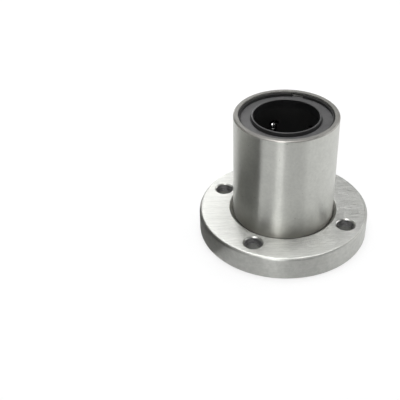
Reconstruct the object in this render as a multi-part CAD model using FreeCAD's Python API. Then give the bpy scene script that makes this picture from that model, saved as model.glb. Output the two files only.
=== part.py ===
import FreeCAD, Part
import math
import os
from itertools import combinations

# Flanged linear ball bushing, standing on its flange. Millimetres, +Z along the bore, away from the flange.
# The origin is the centre of the bore on the flange's outer face.

# Shaft and balls
SHAFT_D = 20.0
BALL_D = 3.175
CIRCUITS = 5
FIRST_CIRCUIT_DEG = 63.0
TURN_LIFT_DEG = 10.0    # the turns lean outwards, to lift the balls off the shaft
BALL_PLAY = 0.08        # free space between two balls that follow each other
LAND_PLAY = 0.045       # a loaded ball to the sleeve, with the shaft out
TRACK_PLAY = 0.1        # a ball to the walls of its track
BALL_ADVANCE = 1.1      # how far the balls stand along their loops, up the loaded leg

# Sleeve
LENGTH = 42.0
RETURN_PLAY = 0.4       # room outside the returning balls, at least
RIM_WALL = 0.9          # steel outside the snap-ring groove
RIM_CHAMFER = 0.6
LAND_SETBACK = 0.5      # the lands stop this far short of the turns
SEAT_STEP = 0.18        # the flange's seat is turned down this much below the barrel
SEAT_RELIEF = 0.85      # the barrel starts this far below the flange's mounting face

# Flange
FLANGE_T = 8.0
SCREW_COUNT = 4
SCREW_HOLE_D = 5.5
SCREW_HEAD_D = 9.0
SCREW_SEAT_T = 2.9      # steel left under a screw head
HEAD_WALL_IN = 1.0      # steel between a screw head and the barrel
HEAD_WALL_OUT = 1.0     # steel between a screw head and the flange's edge
FLANGE_CHAMFER = 0.8
FOOT_CHAMFER = 1.4      # in the bore of the flange, on the mounting side
HOLE_CHAMFER = 0.25

# Retainer
SHAFT_GAP = 0.18        # retainer to the shaft
CAGE_PLAY = 0.12        # retainer to the sleeve's lands
CAGE_END_WALL = 1.6     # least resin past the turns
TRACK_HALF_DEG = 60.0   # half angle of a track's V-shaped floor
TURN_SIDES = 4          # flat stretches that stand in for the round of a turn

# Snap rings
RING_SETBACK = 0.6      # end face to the ring
RING_T = 1.0
RING_W = 1.2
RING_GAP = 3.5
RING_GAP_DEG = 100.0
RING_GROOVE_DEPTH = 0.6
RING_GROOVE_PLAY = 0.1

# End seals
SEAL_T = 1.4
LIP_T = 0.5
LIP_HEIGHT = 1.1        # collar above the seal's face

# A ball circuit is a flat loop: two straight legs joined by half turns that hold two balls each
shaft_r = SHAFT_D / 2
ball_r = BALL_D / 2
load_r = shaft_r + ball_r
leg_pitch = BALL_D + BALL_PLAY
turn_r = leg_pitch / math.sqrt(2)
turn_pitch = turn_r * math.pi / 2
leg_gap = 2 * turn_r
return_r = math.hypot(load_r, leg_gap)
track_r = ball_r + TRACK_PLAY
lift = math.radians(TURN_LIFT_DEG)

# Radii of the sleeve from the balls outwards. The end bores, where the balls turn, are a whole tenth.
land_r = load_r + ball_r + LAND_PLAY
end_bore_r = round(return_r + ball_r + RETURN_PLAY, 1)
ring_groove_r = end_bore_r + RING_GROOVE_DEPTH
barrel_r = ring_groove_r + RIM_WALL
seat_r = barrel_r - SEAT_STEP

# Radii of the flange from the barrel outwards
screw_circle_r = barrel_r + HEAD_WALL_IN + SCREW_HEAD_D / 2
flange_r = screw_circle_r + SCREW_HEAD_D / 2 + HEAD_WALL_OUT

# Lengths along the bore
seal_face = RING_SETBACK + RING_T
seal_back = seal_face + SEAL_T
middle = LENGTH / 2
turn_depth = (turn_r + track_r) * math.cos(lift) + track_r * math.sin(lift)
leg_room = LENGTH - 2 * (seal_back + CAGE_END_WALL + turn_depth)
leg_balls = int((leg_room - turn_pitch) / leg_pitch) + 1
leg_length = (leg_balls - 1) * leg_pitch + turn_pitch
leg_low = middle - leg_length / 2
leg_high = middle + leg_length / 2
barrel_low = FLANGE_T - SEAT_RELIEF

Z_AXIS = FreeCAD.Vector(0, 0, 1)


def vec(x, y, z):
    return FreeCAD.Vector(x, y, z)


def turn_axis():
    """Unit axis of the first circuit's upper turn, square to the plane that its balls move in."""
    return vec(math.cos(lift), 0, -math.sin(lift))


def turn_point(radius, angle):
    """A point in the plane of the first circuit's upper turn, from the loaded leg round to the return."""
    rise = radius * math.sin(angle)
    across = turn_r - radius * math.cos(angle)
    return vec(load_r + rise * math.sin(lift), -across, leg_high + rise * math.cos(lift))


def face_of(corners):
    return Part.Face(Part.makePolygon(corners + corners[:1]))


def turned(outline):
    """Solid of revolution about the bore from a closed outline of (radius, height) points."""
    return face_of([vec(r, 0, z) for r, z in outline]).revolve(vec(0, 0, 0), Z_AXIS, 360)


def post(radius, x, y, low, high):
    return Part.makeCylinder(radius, high - low, vec(x, y, low), Z_AXIS)


def cone_at(x, y, low_r, high_r, low, high):
    return Part.makeCone(low_r, high_r, high - low, vec(x, y, low), Z_AXIS)


def around(shape, count, first_deg=0.0):
    """Copies of a shape, evenly spaced about the bore."""
    copies = []
    for i in range(count):
        copy = shape.copy()
        copy.rotate(vec(0, 0, 0), Z_AXIS, first_deg + i * 360 / count)
        copies.append(copy)
    return copies


def other_end(shape):
    """The same piece turned end for end, for the end away from the flange."""
    copy = shape.copy()
    copy.rotate(vec(0, 0, middle), vec(1, 0, 0), 180)
    return copy


def outer_sleeve():
    groove_back = seal_face + RING_GROOVE_PLAY
    land_end = leg_low + LAND_SETBACK
    # radius and depth from an end face, from the mouth inwards
    inside = [
        (end_bore_r, 0),
        (end_bore_r, RING_SETBACK),
        (ring_groove_r, RING_SETBACK),
        (ring_groove_r, groove_back),
        (end_bore_r, groove_back),
        (end_bore_r, land_end),
        (land_r, land_end),
    ]
    outside = [
        (seat_r, 0),
        (seat_r, barrel_low),
        (barrel_r, barrel_low),
        (barrel_r, LENGTH - RIM_CHAMFER),
        (barrel_r - RIM_CHAMFER, LENGTH),
    ]
    upper = [(r, LENGTH - depth) for r, depth in inside]
    body = turned(outside + upper + inside[::-1])
    groove = post(track_r, load_r, -leg_gap, land_end, LENGTH - land_end)
    return body.cut(around(groove, CIRCUITS, FIRST_CIRCUIT_DEG))


def mounting_flange():
    body = turned([
        (seat_r, 0),
        (flange_r - FLANGE_CHAMFER, 0),
        (flange_r, FLANGE_CHAMFER),
        (flange_r, FLANGE_T - FLANGE_CHAMFER),
        (flange_r - FLANGE_CHAMFER, FLANGE_T),
        (seat_r + FOOT_CHAMFER, FLANGE_T),
        (seat_r, FLANGE_T - FOOT_CHAMFER),
    ])
    hole_r = SCREW_HOLE_D / 2
    head_r = SCREW_HEAD_D / 2
    at = (screw_circle_r, 0)
    hole = post(hole_r, *at, 0, FLANGE_T)
    hole = hole.fuse([
        cone_at(*at, hole_r, hole_r + HOLE_CHAMFER, FLANGE_T - HOLE_CHAMFER, FLANGE_T),
        post(head_r, *at, 0, FLANGE_T - SCREW_SEAT_T),
    ])
    return body.cut(around(hole, SCREW_COUNT))


def ball_track():
    """Room for one circuit: V-bottomed legs, and flat-bottomed turns that lean away from the shaft."""
    half_angle = math.radians(TRACK_HALF_DEG)
    apex = load_r - track_r / math.sin(half_angle)
    shoulder = apex + track_r / math.tan(half_angle)
    overrun = track_r * math.tan(lift)
    low = leg_low - overrun
    section = face_of([
        vec(land_r, -track_r, low),
        vec(shoulder, -track_r, low),
        vec(apex, 0, low),
        vec(shoulder, track_r, low),
        vec(land_r, track_r, low),
    ])
    leg = section.extrude(vec(0, 0, leg_length + 2 * overrun))
    back_leg = leg.translated(vec(0, -leg_gap, 0))

    # a turn's outer wall lies round the balls' path, and the corners of its island stay inside it
    step = math.pi / TURN_SIDES
    outer_r = (turn_r + track_r) / math.cos(step / 2)
    island_r = turn_r - track_r
    rim = [turn_point(turn_r + track_r, 0)]
    rim += [turn_point(outer_r, step * (i + 0.5)) for i in range(TURN_SIDES)]
    rim += [turn_point(turn_r + track_r, math.pi)]
    rim += [turn_point(island_r, step * i) for i in range(TURN_SIDES, -1, -1)]
    floor = face_of([corner - turn_axis() * track_r for corner in rim])
    upper = floor.extrude(turn_axis() * (track_r + barrel_r - load_r))
    lower = upper.mirror(vec(0, 0, middle), Z_AXIS)
    return leg.fuse([back_leg, upper, lower])


def ball_retainer():
    top = LENGTH - seal_back
    tube = turned([
        (shaft_r + SHAFT_GAP, seal_back),
        (land_r - CAGE_PLAY, seal_back),
        (land_r - CAGE_PLAY, top),
        (shaft_r + SHAFT_GAP, top),
    ])
    return tube.cut(around(ball_track(), CIRCUITS, FIRST_CIRCUIT_DEG))


def end_seal():
    """Rubber disc with a lip collar round the shaft."""
    collar_r = shaft_r + LIP_T
    tip = seal_face - LIP_HEIGHT
    return turned([
        (shaft_r, seal_back),
        (shaft_r, tip),
        (collar_r, tip),
        (collar_r, seal_face),
        (end_bore_r, seal_face),
        (end_bore_r, seal_back),
    ])


def snap_ring(gap_deg):
    """Flat C-ring sprung into its groove, with square-cut ends."""
    inner = ring_groove_r - RING_W
    ring = turned([
        (inner, RING_SETBACK),
        (ring_groove_r, RING_SETBACK),
        (ring_groove_r, seal_face),
        (inner, seal_face),
    ])
    gap = Part.makeBox(ring_groove_r + 1, RING_GAP, RING_T, vec(0, -RING_GAP / 2, RING_SETBACK))
    gap.rotate(vec(0, 0, 0), Z_AXIS, gap_deg)
    return ring.cut(gap)


def ball():
    """A steel ball as twenty flat facets with every corner on the sphere, one of them towards the shaft."""
    tall = ball_r / math.sqrt(5)
    wide = 2 * tall
    corners = [vec(ball_r, 0, 0), vec(-ball_r, 0, 0)]
    for i in range(5):
        for side, turn in ((1, 0), (-1, math.pi / 5)):
            angle = turn + i * math.tau / 5
            corners.append(vec(side * tall, wide * math.cos(angle), wide * math.sin(angle)))
    edge = corners[0].distanceToPoint(corners[2])
    facets = []
    for trio in combinations(corners, 3):
        if all(a.distanceToPoint(b) < edge * 1.01 for a, b in combinations(trio, 2)):
            facets.append(Part.Face(Part.makePolygon([*trio, trio[0]])))
    return Part.Solid(Part.makeShell(facets))


def circuit_groups():
    """Centres of the first circuit's balls, by the stretch of the loop that they are on."""
    heights = [middle + leg_pitch * (i - (leg_balls - 1) / 2) for i in range(leg_balls)]
    advance = BALL_ADVANCE / turn_r
    upper = [turn_point(turn_r, angle + advance) for angle in (math.pi / 4, 3 * math.pi / 4)]
    lower = [turn_point(turn_r, angle - advance) for angle in (math.pi / 4, 3 * math.pi / 4)]
    return {
        "load_balls": [vec(load_r, 0, z + BALL_ADVANCE) for z in heights],
        "upper_turn_balls": upper,
        "return_balls": [vec(load_r, -leg_gap, z - BALL_ADVANCE) for z in heights],
        "lower_turn_balls": [vec(p.x, p.y, LENGTH - p.z) for p in lower],
    }


def main():
    os.makedirs("parts", exist_ok=True)
    pieces = {
        "outer_sleeve": outer_sleeve(),
        "mounting_flange": mounting_flange(),
        "ball_retainer": ball_retainer(),
        "flange_end_seal": end_seal(),
        "free_end_seal": other_end(end_seal()),
        "flange_end_snap_ring": snap_ring(RING_GAP_DEG),
        "free_end_snap_ring": other_end(snap_ring(-RING_GAP_DEG)),
    }
    for group, centres in circuit_groups().items():
        balls = Part.makeCompound([ball().translated(centre) for centre in centres])
        for i, shape in enumerate(around(balls, CIRCUITS, FIRST_CIRCUIT_DEG)):
            pieces[f"circuit_{i + 1}_{group}"] = shape
    for name, shape in pieces.items():
        shape.exportStep(f"parts/{name}.step")


main()
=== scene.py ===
import math

import bmesh
import bpy
from mathutils import Matrix, Vector


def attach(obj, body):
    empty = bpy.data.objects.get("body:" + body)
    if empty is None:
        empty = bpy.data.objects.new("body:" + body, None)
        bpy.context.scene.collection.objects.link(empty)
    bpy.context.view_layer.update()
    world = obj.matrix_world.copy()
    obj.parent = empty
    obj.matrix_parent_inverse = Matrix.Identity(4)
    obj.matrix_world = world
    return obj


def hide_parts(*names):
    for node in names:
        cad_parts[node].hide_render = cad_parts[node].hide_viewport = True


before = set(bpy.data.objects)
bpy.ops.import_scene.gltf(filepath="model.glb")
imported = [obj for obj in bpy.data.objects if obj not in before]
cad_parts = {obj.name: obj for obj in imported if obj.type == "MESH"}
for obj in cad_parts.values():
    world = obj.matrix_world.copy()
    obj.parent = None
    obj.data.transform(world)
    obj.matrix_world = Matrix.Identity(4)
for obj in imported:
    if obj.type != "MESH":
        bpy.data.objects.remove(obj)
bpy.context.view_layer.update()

# Flanged linear ball bushing, standing on its flange. Lengths are in millimetres and the meshes in metres.
MM = 0.001

# Shaft and balls
SHAFT_R = 10.0
BALL_R = 1.5875
BALL_PITCH = 3.255
TRACK_PLAY = 0.1
LEG_BALLS = 7
BALL_ADVANCE = 1.1      # how far the balls stand along their loops, up the loaded leg
BALL_SUBDIVISIONS = 3
CIRCUITS = 5
FIRST_CIRCUIT_DEG = 63.0
TURN_LIFT = math.radians(10)    # the turns lean outwards
TURN_PLACES = (math.pi / 4, 3 * math.pi / 4)    # of the two balls in a turn
LOAD_R = SHAFT_R + BALL_R
TURN_R = BALL_PITCH / math.sqrt(2)
LEG_LENGTH = (LEG_BALLS - 1) * BALL_PITCH + TURN_R * math.pi / 2
TRACK_R = BALL_R + TRACK_PLAY
RETURN_R = math.hypot(LOAD_R, 2 * TURN_R)
# Angle of the first circuit's returning leg
FIRST_RETURN = math.radians(FIRST_CIRCUIT_DEG) - math.atan2(2 * TURN_R, LOAD_R)

# Sleeve
LENGTH = 42.0
MIDDLE = LENGTH / 2
BARREL_R = 16.0
SEAT_R = 15.82
BARREL_LOW = 7.15       # a little below the flange's mounting face
RIM_CHAMFER = 0.35
END_BORE_R = 14.5
LAND_R = 13.22
LAND_SETBACK = 0.5      # the lands stop this far short of the turns
RING_GROOVE_R = 15.1
RING_SETBACK = 0.6
RING_T = 1.0
RING_GROOVE_PLAY = 0.1

# Flange
FLANGE_R = 27.0
FLANGE_T = 8.0
FLANGE_CHAMFER = 0.6
FLANGE_ROUNDING = 0.38
FOOT_CHAMFER = 1.4      # in the bore of the flange, on the mounting side
FOOT_SHADE_HEIGHT = 8.5  # painted shade on the barrel, from the mounting face up
FOOT_SHADE_RAGGED = 2.5
SCREW_CIRCLE_R = 21.5
SCREW_HOLE_R = 2.75
SCREW_HEAD_R = 4.5      # of the counterbores
SCREW_HEAD_DEPTH = 5.1
HOLE_CHAMFER = 0.38
SCREWS = 4

# Snap rings and seals
RING_W = 1.2
RING_GAP = 3.5
RING_GAP_DEG = 100.0
SEAL_T = 1.4
SEAL_FACE = RING_SETBACK + RING_T
SEAL_BACK = SEAL_FACE + SEAL_T
LIP_T = 0.5
LIP_HEIGHT = 1.1
LIP_CREASE_W = 0.4      # round the foot of the lip
LIP_CREASE_DEPTH = 0.35
# The lip's tip is lightened as a painted highlight
LIP_TIP_HIGHLIGHT = 0.15         # of its height, at the tip
# The seal's grey face is painted sheen
SHEEN_FROM = 0.15        # the seal's face starts to grey this far inside the lip's outer wall
SHEEN_FULL = 0.5         # and is fully grey this far outside it

# Camera, as it stood to the photographed bushing: millimetres and degrees
CAMERA_AZIMUTH = 30.9219
CAMERA_ELEVATION = 35.5626
CAMERA_ROLL = -2.0825
CAMERA_RIGHT = 27.0878
CAMERA_UP = -8.4003
CAMERA_DISTANCE = 255.3909
CAMERA_LENS = 69.5584
SENSOR = 36.0
CAMERA_CLIP = (0.01, 50.0)      # metres

# The grinding streaks on the flange's faces run level across the camera's view
STREAK_DEG = CAMERA_AZIMUTH

# Studio: soft boxes by azimuth from straight behind towards the right, elevation, spread and strength
STUDIO_GLOW = 0.08
BOX_CORE = 0.35         # share of a box's spread that is fully lit
SOFT_BOXES = [
    (48, 18, 28, 0.8),
    (75, 20, 25, 1.3),
    (105, 20, 25, 1.2),
    (135, 20, 20, 0.9),
    (196, 15, 10, 5.0),
    (196, 35, 10, 7.0),
    (196, 55, 10, 4.4),
    (215, 50, 20, 1.2),
    (-90, 58, 32, 0.7),
    (0, 85, 30, 4.3),
]

# Floor: shares of white to the camera and in reflections, where there is less of it close to the flange as
# painted shade.
# In reflections it is greyer beyond a line, towards the front left, as a painted shadow.
FLOOR_HEIGHT = -0.02
FLOOR_REACH = 4000.0
FLOOR_SEEN = 0.7
FLOOR_MIRRORED = 0.5
FLOOR_UNDER = 0.04
FLOOR_CLEARS = 4.0
FLOOR_SHADOW_TONE = (0.66, 0.66, 0.66)
FLOOR_LINE = -5.6
FLOOR_LINE_DEG = 41.0
FLOOR_LINE_BLUR = 1.5

# Dark card at the left, toned with painted shade, and a dark sheet on the floor as painted shadow. The plans
# are to the camera's right and away from it.
CARD_NEAR = (0.29, 0.29, 0.282)
CARD_FAR = (1.0, 1.0, 0.974)
CARD_FOOT = (0.06, 0.06, 0.058)
CARD_FADE = 36.0        # height over which the foot's tone gives way
CARD_HEIGHT = 54.0
CARD_PLAN = [(-33, -27), (-33, 11), (-75, 26), (-75, -43)]
# Painted shadow: a dark sheet on the floor beside the flange
SHADOW_SHEET_PLAN = [(-34, -26), (-24, -14), (-24, 12), (-34, 12)]
SHADOW_SHEET_TONE = (0.3, 0.3, 0.293)
SHADOW_SHEET_HEIGHT = 0.05
SHADOW_SHEET_EDGE = (0.2, 1.5)         # heights between which the painted shadow sheet's tone gives way

# Light panel behind the object
PANEL_ACROSS = (-75, -12)
PANEL_AWAY = 150
PANEL_HEIGHTS = (50, 130)
PANEL_STRENGTH = 4.2


# Shader graphs and finishes

class Value:
    """A socket of a shader graph. Sums on it add Math nodes to its graph."""

    def __init__(self, graph, socket):
        self.graph = graph
        self.socket = socket

    def __add__(self, other):
        return self.graph.math("ADD", self, other)

    def __sub__(self, other):
        return self.graph.math("SUBTRACT", self, other)

    def __mul__(self, other):
        return self.graph.math("MULTIPLY", self, other)

    def __radd__(self, other):
        return self.graph.math("ADD", other, self)

    def __rsub__(self, other):
        return self.graph.math("SUBTRACT", other, self)

    def __rmul__(self, other):
        return self.graph.math("MULTIPLY", other, self)

    def __abs__(self):
        return self.graph.math("ABSOLUTE", self)


class Graph:
    """The node tree of a material or of the world."""

    def __init__(self, owner):
        owner.use_nodes = True
        self.tree = owner.node_tree
        self.tree.nodes.clear()

    def node(self, kind, settings, inputs, output=0):
        """Adds a node, makes its settings, then sets or links its inputs. Returns one of its outputs."""
        made = self.tree.nodes.new(kind)
        for name, setting in settings.items():
            setattr(made, name, setting)
        for name, given in inputs.items():
            socket = made.inputs[name]
            if isinstance(given, Value):
                self.tree.links.new(given.socket, socket)
            else:
                socket.default_value = given
        return Value(self, made.outputs[output]) if made.outputs else None

    def math(self, operation, *terms):
        return self.node("ShaderNodeMath", {"operation": operation}, dict(enumerate(terms)))

    def dot(self, vector, direction):
        """How far a vector reaches along a direction."""
        terms = {0: vector, 1: direction}
        return self.node("ShaderNodeVectorMath", {"operation": "DOT_PRODUCT"}, terms, "Value")

    def ease(self, value, low, high, to_low=0.0, to_high=1.0):
        """A smooth step of a value from one level to another."""
        return self.node("ShaderNodeMapRange", {"interpolation_type": "SMOOTHSTEP"}, {
            "Value": value, "From Min": low, "From Max": high, "To Min": to_low, "To Max": to_high})

    def noise(self, place, scale, detail, roughness):
        return self.node("ShaderNodeTexNoise", {}, {
            "Vector": place, "Scale": scale, "Detail": detail, "Roughness": roughness})

    def blend(self, share, low, high):
        """A colour between two, by a share."""
        return self.node("ShaderNodeMix", {"data_type": "RGBA"}, {0: share, 6: low, 7: high}, 2)

    def place(self):
        """Where a point is on the piece, in millimetres."""
        metres = self.node("ShaderNodeTexCoord", {}, {}, "Object")
        return self.node("ShaderNodeVectorMath", {"operation": "SCALE"}, {0: metres, "Scale": 1 / MM})

    def parts(self, vector):
        """The three coordinates of a vector."""
        split = self.node("ShaderNodeSeparateXYZ", {}, {0: vector})
        outputs = split.socket.node.outputs
        return [Value(self, outputs[i]) for i in range(3)]

    def joined(self, x, y, z):
        return self.node("ShaderNodeCombineXYZ", {}, {0: x, 1: y, 2: z})

    def ray(self, kind):
        """1 for rays of a kind, and 0 for all others."""
        return self.node("ShaderNodeLightPath", {}, {}, kind)

    def bump(self, height, depth):
        """Normals of a surface that rises by a height from 0 to 1, of so many millimetres."""
        return self.node("ShaderNodeBump", {}, {"Height": height, "Distance": depth * MM, "Strength": 1.0})

    def surface(self, inputs):
        """Ends a material in one Principled shader."""
        shader = self.node("ShaderNodeBsdfPrincipled", {}, inputs)
        self.node("ShaderNodeOutputMaterial", {}, {"Surface": shader})


def new_finish(name):
    """A new material and its graph."""
    made = bpy.data.materials.new(name)
    return made, Graph(made)


def rgb(red, green, blue):
    """A colour socket's value."""
    return (red, green, blue, 1.0)


def radius_of(graph, x, y):
    """Distance from the bushing's axis."""
    return graph.math("SQRT", x * x + y * y)


def ground_barrel_steel():
    """Steel ground between centres: fine lines round it, cloudy wear, and painted shade darkening it towards
    its foot.
    """
    made, g = new_finish("ground_barrel_steel")
    spot = g.place()
    x, y, z = g.parts(spot)
    lines = g.noise(g.joined(x * 0.02, y * 0.02, z * 8.0), 1.0, 3.0, 0.6)
    cloud = g.noise(spot, 0.18, 3.0, 0.6)
    grain = g.noise(spot, 1.1, 5.0, 0.7)
    mottle = g.ease(cloud * 0.4 + grain * 0.6, 0.36, 0.64)
    tone = g.blend(mottle, rgb(0.508, 0.514, 0.485), rgb(0.574, 0.58, 0.547))
    speck = g.ease(g.noise(spot, 1.3, 1.0, 0.5), 0.74, 0.8)
    tone = g.blend(speck * 0.5, tone, rgb(0.2, 0.19, 0.18))
    # Painted shade: the barrel darkens towards its foot, above the flange
    painted_shade_share = g.ease(z + cloud * FOOT_SHADE_RAGGED, FLANGE_T, FLANGE_T + FOOT_SHADE_HEIGHT, 1.0, 0.0)
    tone = g.blend(painted_shade_share, tone, rgb(0.34, 0.333, 0.308))
    g.surface({
        "Base Color": tone,
        "Metallic": 1.0,
        "Roughness": 0.27 + 0.03 * g.ease(lines, 0.3, 0.7) + 0.03 * cloud,
        "Anisotropic": 1.0,
        "Anisotropic Rotation": 0.25,
        "Normal": g.bump(lines, 0.0015),
    })
    return made


def turned_steel(name, dark, bright):
    """Turned steel of the flange's edge, its counterbores and the sleeve's rim: fine lines round it."""
    made, g = new_finish(name)
    spot = g.place()
    x, y, z = g.parts(spot)
    lines = g.noise(g.joined(radius_of(g, x, y) * 4.0, z * 4.0, x * 0.02), 1.0, 3.0, 0.65)
    cloud = g.noise(spot, 0.6, 5.0, 0.7)
    tone = g.blend(g.ease(cloud * 0.6 + lines * 0.4, 0.36, 0.64), dark, bright)
    g.surface({
        "Base Color": tone,
        "Metallic": 1.0,
        "Roughness": 0.34 + 0.12 * g.ease(lines, 0.3, 0.7),
        "Anisotropic": 0.85,
        "Anisotropic Rotation": 0.25,
        "Normal": g.bump(lines, 0.006),
    })
    return made


def hardened_end_steel():
    """Duller hardened steel at the sleeve's ends."""
    made, g = new_finish("hardened_end_steel")
    spot = g.place()
    x, y, z = g.parts(spot)
    lines = g.noise(g.joined(radius_of(g, x, y) * 5.0, z * 5.0, x * 0.02), 1.0, 3.0, 0.6)
    cloud = g.noise(spot, 0.25, 3.0, 0.6)
    tone = g.blend(g.ease(cloud, 0.3, 0.7), rgb(0.298, 0.294, 0.279), rgb(0.358, 0.353, 0.335))
    g.surface({
        "Base Color": tone,
        "Metallic": 1.0,
        "Roughness": 0.64 + 0.1 * g.ease(lines, 0.3, 0.7),
        "Normal": g.bump(lines, 0.004),
    })
    return made


def bore_shade_steel():
    """Steel inside the sleeve, darkened as painted shade."""
    made, g = new_finish("bore_shade_steel")
    spot = g.place()
    painted_shade_share = g.noise(spot, 0.6, 3.0, 0.6)
    g.surface({
        "Base Color": g.blend(g.ease(painted_shade_share, 0.3, 0.7), rgb(0.07, 0.07, 0.066), rgb(0.13, 0.13, 0.122)),
        "Metallic": 1.0,
        "Roughness": 0.32 + 0.16 * painted_shade_share,
    })
    return made


def drilled_steel():
    """Rougher steel of the screw holes' walls, with rings left by the drill."""
    made, g = new_finish("drilled_steel")
    spot = g.place()
    x, y, z = g.parts(spot)
    rings = g.noise(g.joined(x * 0.4, y * 0.4, z * 3.5), 1.0, 3.0, 0.6)
    marks = rings * 0.6 + g.noise(spot, 0.8, 3.0, 0.6) * 0.4
    g.surface({
        "Base Color": g.blend(g.ease(marks, 0.36, 0.64), rgb(0.32, 0.32, 0.322), rgb(0.7, 0.7, 0.705)),
        "Metallic": 1.0,
        "Roughness": 0.36 + 0.2 * marks,
        "Normal": g.bump(marks, 0.05),
    })
    return made


def cut_edge_steel():
    """Bright steel of the small edges cut round the screw holes."""
    made, g = new_finish("cut_edge_steel")
    cloud = g.noise(g.place(), 0.8, 3.0, 0.6)
    g.surface({
        "Base Color": g.blend(cloud, rgb(0.48, 0.485, 0.46), rgb(0.6, 0.605, 0.58)),
        "Metallic": 1.0,
        "Roughness": 0.24 + 0.1 * cloud,
    })
    return made


def ground_face_steel():
    """Steel ground flat on a surface grinder: straight streaks across the flange's faces."""
    made, g = new_finish("ground_face_steel")
    spot = g.place()
    x, y, z = g.parts(spot)
    turn = math.radians(STREAK_DEG)
    along = x * math.cos(turn) + y * math.sin(turn)
    across = y * math.cos(turn) - x * math.sin(turn)
    scratches = g.noise(g.joined(along * 0.2, across * 7.0, z), 1.0, 3.0, 0.6)
    streaks = g.noise(g.joined(along * 0.08, across * 1.6, z), 1.0, 4.0, 0.6)
    marks = g.noise(g.joined(along * 0.45, across * 3.2, z), 1.0, 3.0, 0.6)
    mottle = g.ease(streaks * 0.5 + marks * 0.5, 0.34, 0.66)
    tone = g.blend(mottle, rgb(0.585, 0.589, 0.564), rgb(0.735, 0.74, 0.711))
    g.surface({
        "Base Color": tone,
        "Metallic": 1.0,
        "Roughness": 0.28 + 0.1 * g.ease(scratches, 0.3, 0.7) + 0.08 * streaks,
        "Normal": g.bump(scratches, 0.14),
    })
    return made


def black_spring_steel():
    """Blackened spring steel of the snap rings."""
    made, g = new_finish("black_spring_steel")
    spot = g.place()
    grain = g.noise(spot, 2.5, 4.0, 0.6)
    g.surface({
        "Base Color": g.blend(g.ease(grain, 0.3, 0.7), rgb(0.016, 0.016, 0.017), rgb(0.032, 0.031, 0.03)),
        "Metallic": 0.3,
        "Roughness": 0.35 + 0.2 * grain,
        "Normal": g.bump(grain, 0.01),
    })
    return made


def seal_rubber():
    """Black rubber of the seals: the face round the lip is greyed as painted sheen, and the lip's tip is
    lightened as a painted highlight.
    """
    made, g = new_finish("seal_rubber")
    spot = g.place()
    x, y, z = g.parts(spot)
    grain = g.noise(spot, 4.0, 4.0, 0.6)
    cloud = g.noise(spot, 0.35, 3.0, 0.6)
    face = g.blend(g.ease(cloud, 0.3, 0.7), rgb(0.085, 0.085, 0.086), rgb(0.105, 0.104, 0.105))
    lip_r = SHAFT_R + LIP_T
    # Painted sheen: grey on the face, black on the lip
    painted_sheen = g.ease(radius_of(g, x, y), lip_r - SHEEN_FROM, lip_r + SHEEN_FULL)
    tip_out = MIDDLE - SEAL_FACE + LIP_HEIGHT
    # Painted highlight on the lip's tip
    tip_highlight = g.ease(abs(z - MIDDLE), tip_out - LIP_TIP_HIGHLIGHT, tip_out - LIP_TIP_HIGHLIGHT / 3)
    lip = g.blend(tip_highlight, rgb(0.006, 0.006, 0.0065), rgb(0.05, 0.05, 0.051))
    g.surface({
        "Base Color": g.blend(painted_sheen, lip, face),
        "Roughness": 0.34 + 0.12 * g.ease(grain, 0.3, 0.7) + 0.06 * painted_sheen,
        "IOR": 1.6,
        "Normal": g.bump(grain, 0.012),
    })
    return made


def retainer_resin():
    """Black moulded resin of the ball retainer."""
    made, g = new_finish("retainer_resin")
    spot = g.place()
    grain = g.noise(spot, 3.0, 3.0, 0.6)
    g.surface({
        "Base Color": g.blend(grain, rgb(0.006, 0.006, 0.006), rgb(0.012, 0.012, 0.012)),
        "Roughness": 0.45 + 0.15 * grain,
        "Normal": g.bump(grain, 0.01),
    })
    return made


def ball_steel():
    """Polished bearing steel."""
    made, g = new_finish("ball_steel")
    cloud = g.noise(g.place(), 0.8, 2.0, 0.5)
    g.surface({
        "Base Color": g.blend(cloud, rgb(0.62, 0.62, 0.62), rgb(0.72, 0.72, 0.715)),
        "Metallic": 1.0,
        "Roughness": 0.1 + 0.06 * cloud,
    })
    return made


# Meshes of turned pieces

ROUND_STEPS = 3
SEGMENTS = 192
HOLE_SEGMENTS = 64
SUPPORT = 0.05          # a point this far past each rounding
MOST_OF_SIDE = 0.49     # and no further along a side than this share of it
OPEN_REACH = 1.0        # where an open outline starts and ends, past its outer corners
TOUCH = 0.01            # radii this close count as the same
MERGE = 1e-7            # metres
FACE_SLOPE = 0.8        # parts of the flange's edge that are flatter than this are ground with its faces

# Places of the finishes on the sleeve and on the flange
BARREL, SLEEVE_END, SLEEVE_INSIDE, SLEEVE_RIM = range(4)
FLANGE_FACE, FLANGE_EDGE, HOLE_WALL, HOLE_EDGE = range(4)


def rounded(corners, closed=True):
    """Points along an outline of (radius, height, rounding) corners, with supports beside the roundings."""
    points = []
    count = len(corners)
    for i, (r, z, rounding) in enumerate(corners):
        here = Vector((r, z))
        if rounding == 0 or (not closed and i in (0, count - 1)):
            points.append(here)
            continue
        before = Vector(corners[i - 1][:2]) - here
        after = Vector(corners[(i + 1) % count][:2]) - here
        start = before.normalized()
        end = after.normalized()
        points.append(here + start * min(rounding + SUPPORT, before.length * MOST_OF_SIDE))
        for k in range(ROUND_STEPS + 1):
            t = k / ROUND_STEPS
            points.append(here + start * rounding * (1 - t) ** 2 + end * rounding * t ** 2)
        points.append(here + end * min(rounding + SUPPORT, after.length * MOST_OF_SIDE))
    return points


def ring_of(bm, radius, height, segments, centre=(0.0, 0.0), deepen=None):
    """A level ring of vertices. deepen gives the radius at an angle."""
    ring = []
    for i in range(segments):
        angle = i * math.tau / segments
        reach = deepen(radius, angle) if deepen else radius
        x = centre[0] + reach * math.cos(angle)
        y = centre[1] + reach * math.sin(angle)
        ring.append(bm.verts.new((x * MM, y * MM, height * MM)))
    return ring


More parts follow.
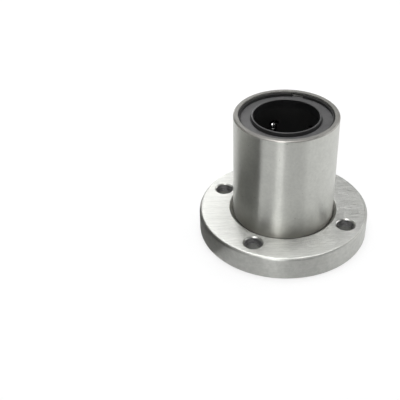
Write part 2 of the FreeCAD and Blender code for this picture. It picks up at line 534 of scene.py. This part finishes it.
def skin(bm, rings, closed, material=0):
    """Quads between rings of vertices that follow each other."""
    pairs = list(zip(rings, rings[1:]))
    if closed:
        pairs.append((rings[-1], rings[0]))
    for low, high in pairs:
        count = len(low)
        for i in range(count):
            j = (i + 1) % count
            face = bm.faces.new((low[i], low[j], high[j], high[i]))
            face.material_index = material


def finished(name, bm, materials):
    """Makes the mesh an object, smooth, with its faces pointing outwards."""
    bmesh.ops.remove_doubles(bm, verts=bm.verts, dist=MERGE)
    bmesh.ops.recalc_face_normals(bm, faces=bm.faces)
    for face in bm.faces:
        face.smooth = True
    mesh = bpy.data.meshes.new(name)
    bm.to_mesh(mesh)
    bm.free()
    for material in materials:
        mesh.materials.append(material)
    made = bpy.data.objects.new(name, mesh)
    bpy.context.scene.collection.objects.link(made)
    return made


def turned_piece(name, outline, materials, choose=None, deepen=None):
    """A ring turned from a closed outline. choose gives a face's material by its radius and height."""
    bm = bmesh.new()
    rings = [ring_of(bm, p.x, p.y, SEGMENTS, deepen=deepen) for p in outline]
    skin(bm, rings, True)
    if choose:
        for face in bm.faces:
            middle = face.calc_center_median() / MM
            face.material_index = choose(math.hypot(middle.x, middle.y), middle.z)
    return finished(name, bm, materials)


def to_free_end(obj):
    """Turns a piece end for end, about the middle of the bushing."""
    about = Matrix.Translation((0, 0, MIDDLE * MM))
    obj.data.transform(about @ Matrix.Rotation(math.pi, 4, "X") @ about.inverted())
    return obj


def past_return_groove(radius, angle):
    """A radius on the sleeve's lands, larger where a return groove runs through them."""
    apart = math.tau / CIRCUITS
    off = (angle - FIRST_RETURN + apart / 2) % apart - apart / 2
    aside = RETURN_R * math.sin(off)
    if abs(aside) >= TRACK_R:
        return radius
    return max(radius, RETURN_R * math.cos(off) + math.sqrt(TRACK_R ** 2 - aside ** 2))


def sleeve_piece(barrel_steel, end_steel, inside_steel, rim_steel):
    """The outer sleeve, with a rim chamfer, snap-ring grooves and return grooves."""
    groove_back = SEAL_FACE + RING_GROOVE_PLAY
    land_end = MIDDLE - LEG_LENGTH / 2 + LAND_SETBACK
    inside = [
        (END_BORE_R, 0, 0.12),
        (END_BORE_R, RING_SETBACK, 0.04),
        (RING_GROOVE_R, RING_SETBACK, 0.0),
        (RING_GROOVE_R, groove_back, 0.0),
        (END_BORE_R, groove_back, 0.04),
        (END_BORE_R, land_end, 0.0),
        (LAND_R, land_end, 0.1),
    ]
    outside = [
        (SEAT_R, 0, 0.1),
        (SEAT_R, BARREL_LOW, 0.0),
        (BARREL_R, BARREL_LOW, 0.06),
        (BARREL_R, LENGTH - RIM_CHAMFER, 0.15),
        (BARREL_R - RIM_CHAMFER, LENGTH, 0.12),
    ]
    upper = [(r, LENGTH - depth, rounding) for r, depth, rounding in inside]
    outline = rounded(outside + upper + inside[::-1])

    def finish(r, z):
        if r > BARREL_R - TOUCH and BARREL_LOW < z < LENGTH - RIM_CHAMFER:
            return BARREL
        if r > BARREL_R - RIM_CHAMFER and z > MIDDLE:
            return SLEEVE_RIM
        deep = r < RING_GROOVE_R + TOUCH and abs(z - MIDDLE) < MIDDLE - RING_SETBACK
        return SLEEVE_INSIDE if deep else SLEEVE_END

    finishes = [barrel_steel, end_steel, inside_steel, rim_steel]
    return turned_piece("sleeve", outline, finishes, finish, past_return_groove)


def loop_edges(bm, ring):
    """The edges round a ring of vertices."""
    return [bm.edges.get((ring[i], ring[(i + 1) % len(ring)])) for i in range(len(ring))]


def flange_piece(face_steel, edge_steel, hole_steel, cut_steel):
    """The round flange: its edge, bore and counterbored holes, and two flat faces filled in between them."""
    bm = bmesh.new()
    edge = rounded([
        (FLANGE_R - FLANGE_CHAMFER - OPEN_REACH, 0, 0),
        (FLANGE_R - FLANGE_CHAMFER, 0, FLANGE_ROUNDING),
        (FLANGE_R, FLANGE_CHAMFER, FLANGE_ROUNDING),
        (FLANGE_R, FLANGE_T - FLANGE_CHAMFER, FLANGE_ROUNDING),
        (FLANGE_R - FLANGE_CHAMFER, FLANGE_T, FLANGE_ROUNDING),
        (FLANGE_R - FLANGE_CHAMFER - OPEN_REACH, FLANGE_T, 0),
    ], closed=False)[1:-1]
    bore = rounded([
        (SEAT_R + FOOT_CHAMFER + OPEN_REACH, FLANGE_T, 0),
        (SEAT_R + FOOT_CHAMFER, FLANGE_T, 0.15),
        (SEAT_R, FLANGE_T - FOOT_CHAMFER, 0.05),
        (SEAT_R, 0, 0.15),
        (SEAT_R + OPEN_REACH, 0, 0),
    ], closed=False)[1:-1]
    hole = rounded([
        (SCREW_HOLE_R + HOLE_CHAMFER + OPEN_REACH, FLANGE_T, 0),
        (SCREW_HOLE_R + HOLE_CHAMFER, FLANGE_T, 0.06),
        (SCREW_HOLE_R, FLANGE_T - HOLE_CHAMFER, 0.06),
        (SCREW_HOLE_R, SCREW_HEAD_DEPTH, 0.08),
        (SCREW_HEAD_R, SCREW_HEAD_DEPTH, 0.15),
        (SCREW_HEAD_R, 0, 0.12),
        (SCREW_HEAD_R + OPEN_REACH, 0, 0),
    ], closed=False)[1:-1]
    edge_rings = [ring_of(bm, p.x, p.y, SEGMENTS) for p in edge]
    bore_rings = [ring_of(bm, p.x, p.y, SEGMENTS) for p in bore]
    skin(bm, edge_rings, False, FLANGE_EDGE)
    skin(bm, bore_rings, False, FLANGE_FACE)
    top = [edge_rings[-1], bore_rings[0]]
    bottom = [edge_rings[0], bore_rings[-1]]
    for i in range(SCREWS):
        angle = i * math.tau / SCREWS
        centre = (SCREW_CIRCLE_R * math.cos(angle), SCREW_CIRCLE_R * math.sin(angle))
        rings = [ring_of(bm, p.x, p.y, HOLE_SEGMENTS, centre) for p in hole]
        skin(bm, rings, False, HOLE_WALL)
        top.append(rings[0])
        bottom.append(rings[-1])
    for loops in (top, bottom):
        edges = [e for ring in loops for e in loop_edges(bm, ring)]
        filled = bmesh.ops.triangle_fill(bm, edges=edges, use_beauty=True)
        for item in filled["geom"]:
            if isinstance(item, bmesh.types.BMFace):
                item.material_index = FLANGE_FACE
    bm.normal_update()
    for face in bm.faces:
        height = face.calc_center_median().z
        if face.material_index == HOLE_WALL and height > (FLANGE_T - HOLE_CHAMFER) * MM:
            face.material_index = HOLE_EDGE
        elif face.material_index == HOLE_WALL and height < SCREW_HEAD_DEPTH * MM:
            face.material_index = FLANGE_EDGE
        elif face.material_index == FLANGE_EDGE and abs(face.normal.z) > FACE_SLOPE:
            face.material_index = FLANGE_FACE
    return finished("flange", bm, [face_steel, edge_steel, hole_steel, cut_steel])


def seal_piece(name, rubber):
    """A rubber disc with a lip collar round the shaft, and a crease at the collar's foot."""
    tip = SEAL_FACE - LIP_HEIGHT
    collar_r = SHAFT_R + LIP_T
    outline = rounded([
        (SHAFT_R, SEAL_BACK, 0.05),
        (SHAFT_R, tip, 0.15),
        (collar_r, tip, 0.2),
        (collar_r, SEAL_FACE + LIP_CREASE_DEPTH, 0.12),
        (collar_r + LIP_CREASE_W, SEAL_FACE, 0.12),
        (END_BORE_R, SEAL_FACE, 0.1),
        (END_BORE_R, SEAL_BACK, 0.1),
    ])
    return turned_piece(name, outline, [rubber])


def snap_ring_piece(name, steel, gap_deg):
    """A flat C-ring: one outline carried round from one end to the other."""
    inner = RING_GROOVE_R - RING_W
    outline = rounded([
        (inner, RING_SETBACK, 0.1),
        (RING_GROOVE_R, RING_SETBACK, 0.1),
        (RING_GROOVE_R, SEAL_FACE, 0.1),
        (inner, SEAL_FACE, 0.1),
    ])
    bm = bmesh.new()
    half_gap = math.asin(RING_GAP / 2 / (RING_GROOVE_R - RING_W / 2))
    first = math.radians(gap_deg) + half_gap
    sweep = math.tau - 2 * half_gap
    sections = []
    for i in range(SEGMENTS + 1):
        angle = first + sweep * i / SEGMENTS
        sections.append([bm.verts.new((p.x * math.cos(angle) * MM, p.x * math.sin(angle) * MM, p.y * MM))
                         for p in outline])
    skin(bm, sections, False)
    bm.faces.new(sections[0])
    bm.faces.new(sections[-1])
    made = finished(name, bm, [steel])
    for polygon in made.data.polygons:
        polygon.use_smooth = len(polygon.vertices) == 4
    return made


# Balls

def ball_row_tree():
    """Balls in a row: so many, from a first centre, a step apart."""
    tree = bpy.data.node_groups.new("ball_row", "GeometryNodeTree")
    for name, kind in (("Balls", "NodeSocketInt"), ("Ball radius", "NodeSocketFloat"),
                       ("First centre", "NodeSocketVector"), ("Step", "NodeSocketVector"),
                       ("Finish", "NodeSocketMaterial")):
        tree.interface.new_socket(name, in_out="INPUT", socket_type=kind)
    tree.interface.new_socket("Geometry", in_out="OUTPUT", socket_type="NodeSocketGeometry")
    sizes = tree.nodes.new("NodeGroupInput")
    line = tree.nodes.new("GeometryNodeMeshLine")
    ball = tree.nodes.new("GeometryNodeMeshIcoSphere")
    ball.inputs["Subdivisions"].default_value = BALL_SUBDIVISIONS
    copies = tree.nodes.new("GeometryNodeInstanceOnPoints")
    solid = tree.nodes.new("GeometryNodeRealizeInstances")
    smooth = tree.nodes.new("GeometryNodeSetShadeSmooth")
    painted = tree.nodes.new("GeometryNodeSetMaterial")
    result = tree.nodes.new("NodeGroupOutput")
    for start, end in (
        (sizes.outputs["Balls"], line.inputs["Count"]),
        (sizes.outputs["First centre"], line.inputs["Start Location"]),
        (sizes.outputs["Step"], line.inputs["Offset"]),
        (sizes.outputs["Ball radius"], ball.inputs["Radius"]),
        (line.outputs["Mesh"], copies.inputs["Points"]),
        (ball.outputs["Mesh"], copies.inputs["Instance"]),
        (copies.outputs["Instances"], solid.inputs["Geometry"]),
        (solid.outputs["Geometry"], smooth.inputs["Geometry"]),
        (smooth.outputs["Geometry"], painted.inputs["Geometry"]),
        (sizes.outputs["Finish"], painted.inputs["Material"]),
        (painted.outputs["Geometry"], result.inputs["Geometry"]),
    ):
        tree.links.new(start, end)
    return tree


def ball_row(name, tree, count, first, step, steel):
    """One row of balls as a plain mesh."""
    maker = bpy.data.objects.new(name + "_maker", bpy.data.meshes.new(name))
    bpy.context.scene.collection.objects.link(maker)
    nodes = maker.modifiers.new("balls", "NODES")
    nodes.node_group = tree
    names = {item.name: item.identifier for item in tree.interface.items_tree if item.in_out == "INPUT"}
    nodes[names["Balls"]] = count
    nodes[names["Ball radius"]] = BALL_R * MM
    nodes[names["First centre"]] = [c * MM for c in first]
    nodes[names["Step"]] = [c * MM for c in step]
    nodes[names["Finish"]] = steel
    view = bpy.context.evaluated_depsgraph_get()
    mesh = bpy.data.meshes.new_from_object(maker.evaluated_get(view), depsgraph=view)
    mesh.name = name
    bpy.data.objects.remove(maker)
    made = bpy.data.objects.new(name, mesh)
    bpy.context.scene.collection.objects.link(made)
    return made


def turn_point(angle):
    """Where a ball is that has gone this far round the first circuit's upper turn."""
    rise = TURN_R * math.sin(angle)
    across = TURN_R - TURN_R * math.cos(angle)
    top = MIDDLE + LEG_LENGTH / 2
    return Vector((LOAD_R + rise * math.sin(TURN_LIFT), -across, top + rise * math.cos(TURN_LIFT)))


def circuit_rows():
    """For each group of a circuit's balls: how many, the first centre and the step to the next."""
    low = MIDDLE - BALL_PITCH * (LEG_BALLS - 1) / 2
    advance = BALL_ADVANCE / TURN_R
    pitch = Vector((0, 0, BALL_PITCH))
    upper = [turn_point(angle + advance) for angle in TURN_PLACES]
    mirrored = [turn_point(angle - advance) for angle in TURN_PLACES]
    lower = [Vector((p.x, p.y, LENGTH - p.z)) for p in mirrored]
    return {
        "load_balls": (LEG_BALLS, Vector((LOAD_R, 0, low + BALL_ADVANCE)), pitch),
        "upper_turn_balls": (len(upper), upper[0], upper[1] - upper[0]),
        "return_balls": (LEG_BALLS, Vector((LOAD_R, -2 * TURN_R, low - BALL_ADVANCE)), pitch),
        "lower_turn_balls": (len(lower), lower[0], lower[1] - lower[0]),
    }


# The whole bushing

def take_place(piece, node, body):
    """Puts a piece in the place of a node, moving with a body."""
    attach(piece, body)
    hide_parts(node)


def build():
    """Makes every piece of the bushing."""
    barrel = ground_barrel_steel()
    turned = turned_steel("turned_steel", rgb(0.418, 0.422, 0.402), rgb(0.516, 0.521, 0.496))
    rim = turned_steel("turned_rim_steel", rgb(0.352, 0.341, 0.321), rgb(0.432, 0.419, 0.395))
    hardened = hardened_end_steel()
    inside_shade = bore_shade_steel()
    drilled = drilled_steel()
    cut = cut_edge_steel()
    face = ground_face_steel()
    spring = black_spring_steel()
    rubber = seal_rubber()
    resin = retainer_resin()
    polished = ball_steel()
    take_place(sleeve_piece(barrel, hardened, inside_shade, rim), "outer_sleeve", "housing")
    take_place(flange_piece(face, turned, drilled, cut), "mounting_flange", "housing")
    take_place(seal_piece("lower_seal", rubber), "flange_end_seal", "housing")
    take_place(to_free_end(seal_piece("upper_seal", rubber)), "free_end_seal", "housing")
    take_place(snap_ring_piece("lower_snap_ring", spring, RING_GAP_DEG),
               "flange_end_snap_ring", "housing")
    take_place(to_free_end(snap_ring_piece("upper_snap_ring", spring, -RING_GAP_DEG)),
               "free_end_snap_ring", "housing")
    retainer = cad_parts["ball_retainer"].data
    retainer.materials.clear()
    retainer.materials.append(resin)
    tree = ball_row_tree()
    for i in range(CIRCUITS):
        about = Matrix.Rotation(math.radians(FIRST_CIRCUIT_DEG + i * 360 / CIRCUITS), 3, "Z")
        for group, (count, first, step) in circuit_rows().items():
            node = f"circuit_{i + 1}_{group}"
            row = ball_row(node + "_smooth", tree, count, about @ first, about @ step, polished)
            take_place(row, node, node)


# Studio and camera

def view_axes():
    """Level directions to the camera's right and away from it."""
    view = math.radians(CAMERA_AZIMUTH)
    return Vector((math.cos(view), math.sin(view), 0)), Vector((-math.sin(view), math.cos(view), 0))


def stage_piece(name, points, faces, finish):
    """A piece of the studio, from points in millimetres, that the camera doesn't see."""
    mesh = bpy.data.meshes.new(name)
    mesh.from_pydata([p * MM for p in points], [], faces)
    mesh.materials.append(finish)
    made = bpy.data.objects.new(name, mesh)
    bpy.context.scene.collection.objects.link(made)
    made.visible_camera = False
    return made


def floor():
    """A pale floor that shows white and keeps a shadow; in reflections it has painted shade by the flange
    and a painted shadow towards the front left.
    """
    made, g = new_finish("pale_floor")
    spot = g.place()
    x, y = g.parts(spot)[:2]
    # Painted shade in reflections: less white close to the flange
    clear = g.ease(radius_of(g, x, y), FLANGE_R, FLANGE_R + FLOOR_CLEARS, FLOOR_UNDER, 1.0)
    mirrored = g.ray("Is Glossy Ray") + g.ray("Is Transmission Ray")
    right, away = view_axes()
    turn = math.radians(FLOOR_LINE_DEG)
    side = g.dot(spot, right * math.cos(turn) + away * math.sin(turn))
    # Painted shadow in reflections: greyer beyond a line, towards the front left
    shadow_side = g.ease(side, FLOOR_LINE - FLOOR_LINE_BLUR, FLOOR_LINE + FLOOR_LINE_BLUR, 1.0, 0.0)
    tone = g.blend(mirrored * shadow_side, rgb(1, 1, 1), rgb(*FLOOR_SHADOW_TONE))
    seen = g.ray("Is Camera Ray") * FLOOR_SEEN + mirrored * clear * FLOOR_MIRRORED
    matt = g.node("ShaderNodeBsdfDiffuse", {}, {"Color": rgb(0.9, 0.9, 0.9)})
    white = g.node("ShaderNodeEmission", {}, {"Color": tone, "Strength": 1.0})
    mixed = g.node("ShaderNodeMixShader", {}, {0: seen, 1: matt, 2: white})
    g.node("ShaderNodeOutputMaterial", {}, {"Surface": mixed})
    signs = ((-1, -1), (1, -1), (1, 1), (-1, 1))
    corners = [Vector((i * FLOOR_REACH, j * FLOOR_REACH, FLOOR_HEIGHT)) for i, j in signs]
    ground = stage_piece("floor", corners, [(0, 1, 2, 3)], made)
    ground.visible_camera = True


def dark_card():
    """A dark card at the left, toned with painted shade, and a dark sheet on the floor as painted shadow,
    for the metal to mirror.
    """
    made, g = new_finish("dark_card")
    right, away = view_axes()
    spot = g.place()
    z = g.parts(spot)[2]
    depth = g.dot(spot, away)
    # Painted shade: darker towards the camera's side and towards the card's foot
    shade = g.blend(g.ease(depth, CARD_PLAN[0][1], CARD_PLAN[1][1]), rgb(*CARD_NEAR), rgb(*CARD_FAR))
    low_shade = g.blend(g.ease(z, *SHADOW_SHEET_EDGE), rgb(*SHADOW_SHEET_TONE), rgb(*CARD_FOOT))
    shade = g.blend(g.ease(z, 0.0, CARD_FADE), low_shade, shade)
    g.surface({"Base Color": shade, "Roughness": 0.9})
    feet = [right * across + away * along for across, along in CARD_PLAN]
    tops = [foot + Vector((0, 0, CARD_HEIGHT)) for foot in feet]
    # Painted shadow: a dark sheet lying on the floor
    lift = Vector((0, 0, SHADOW_SHEET_HEIGHT))
    shadow_sheet = [right * across + away * along + lift for across, along in SHADOW_SHEET_PLAN]
    count = len(feet)
    walls = [(i, (i + 1) % count, count + (i + 1) % count, count + i) for i in range(count)]
    lid = [count + i for i in range(count)]
    apron = [2 * count + i for i in range(len(shadow_sheet))]
    card = stage_piece("card", feet + tops + shadow_sheet, walls + [lid, apron], made)
    card.visible_diffuse = False
    card.visible_shadow = False


def light_panel():
    """A soft panel behind the object, to the left."""
    made, g = new_finish("light_panel")
    lit = g.node("ShaderNodeEmission", {}, {"Color": rgb(1, 1, 1), "Strength": PANEL_STRENGTH})
    g.node("ShaderNodeOutputMaterial", {}, {"Surface": lit})
    right, away = view_axes()
    low, high = PANEL_HEIGHTS
    corners = []
    for across, height in zip(PANEL_ACROSS + PANEL_ACROSS[::-1], (low, low, high, high)):
        corners.append(right * across + away * PANEL_AWAY + Vector((0, 0, height)))
    stage_piece("panel", corners, [(0, 1, 2, 3)], made)


def studio_light():
    """Soft boxes all round, on a world that the camera sees as white."""
    world = bpy.data.worlds.new("studio")
    bpy.context.scene.world = world
    g = Graph(world)
    towards = g.node("ShaderNodeTexCoord", {}, {}, "Generated")
    right, away = view_axes()
    glow = STUDIO_GLOW
    for azimuth_deg, elevation_deg, spread_deg, power in SOFT_BOXES:
        azimuth = math.radians(azimuth_deg)
        elevation = math.radians(elevation_deg)
        spread = math.radians(spread_deg)
        aim = (right * math.sin(azimuth) + away * math.cos(azimuth)) * math.cos(elevation)
        aim.z = math.sin(elevation)
        facing = g.dot(towards, aim)
        glow = g.ease(facing, math.cos(spread), math.cos(spread * BOX_CORE)) * power + glow
    camera_ray = g.ray("Is Camera Ray")
    strength = glow * (1 - camera_ray) + camera_ray
    lit = g.node("ShaderNodeBackground", {}, {"Color": rgb(1, 1, 1), "Strength": strength})
    g.node("ShaderNodeOutputWorld", {}, {"Surface": lit})


def camera():
    """The camera, where it stood to the object."""
    elevation = math.radians(CAMERA_ELEVATION)
    roll = math.radians(CAMERA_ROLL)
    right, away = view_axes()
    back = Vector((0, 0, math.sin(elevation))) - away * math.cos(elevation)
    up = back.cross(right)
    rolled_right = right * math.cos(roll) + up * math.sin(roll)
    rolled_up = up * math.cos(roll) - right * math.sin(roll)
    data = bpy.data.cameras.new("camera")
    data.lens = CAMERA_LENS
    data.sensor_width = SENSOR
    data.clip_start, data.clip_end = CAMERA_CLIP
    made = bpy.data.objects.new("camera", data)
    place = (back * CAMERA_DISTANCE - rolled_right * CAMERA_RIGHT - rolled_up * CAMERA_UP) * MM
    turn = Matrix((rolled_right, rolled_up, back)).transposed().to_4x4()
    made.matrix_world = Matrix.Translation(place) @ turn
    bpy.context.scene.collection.objects.link(made)
    bpy.context.scene.camera = made


build()
floor()
dark_card()
light_panel()
studio_light()
camera()
bpy.context.scene.view_settings.view_transform = "Standard"
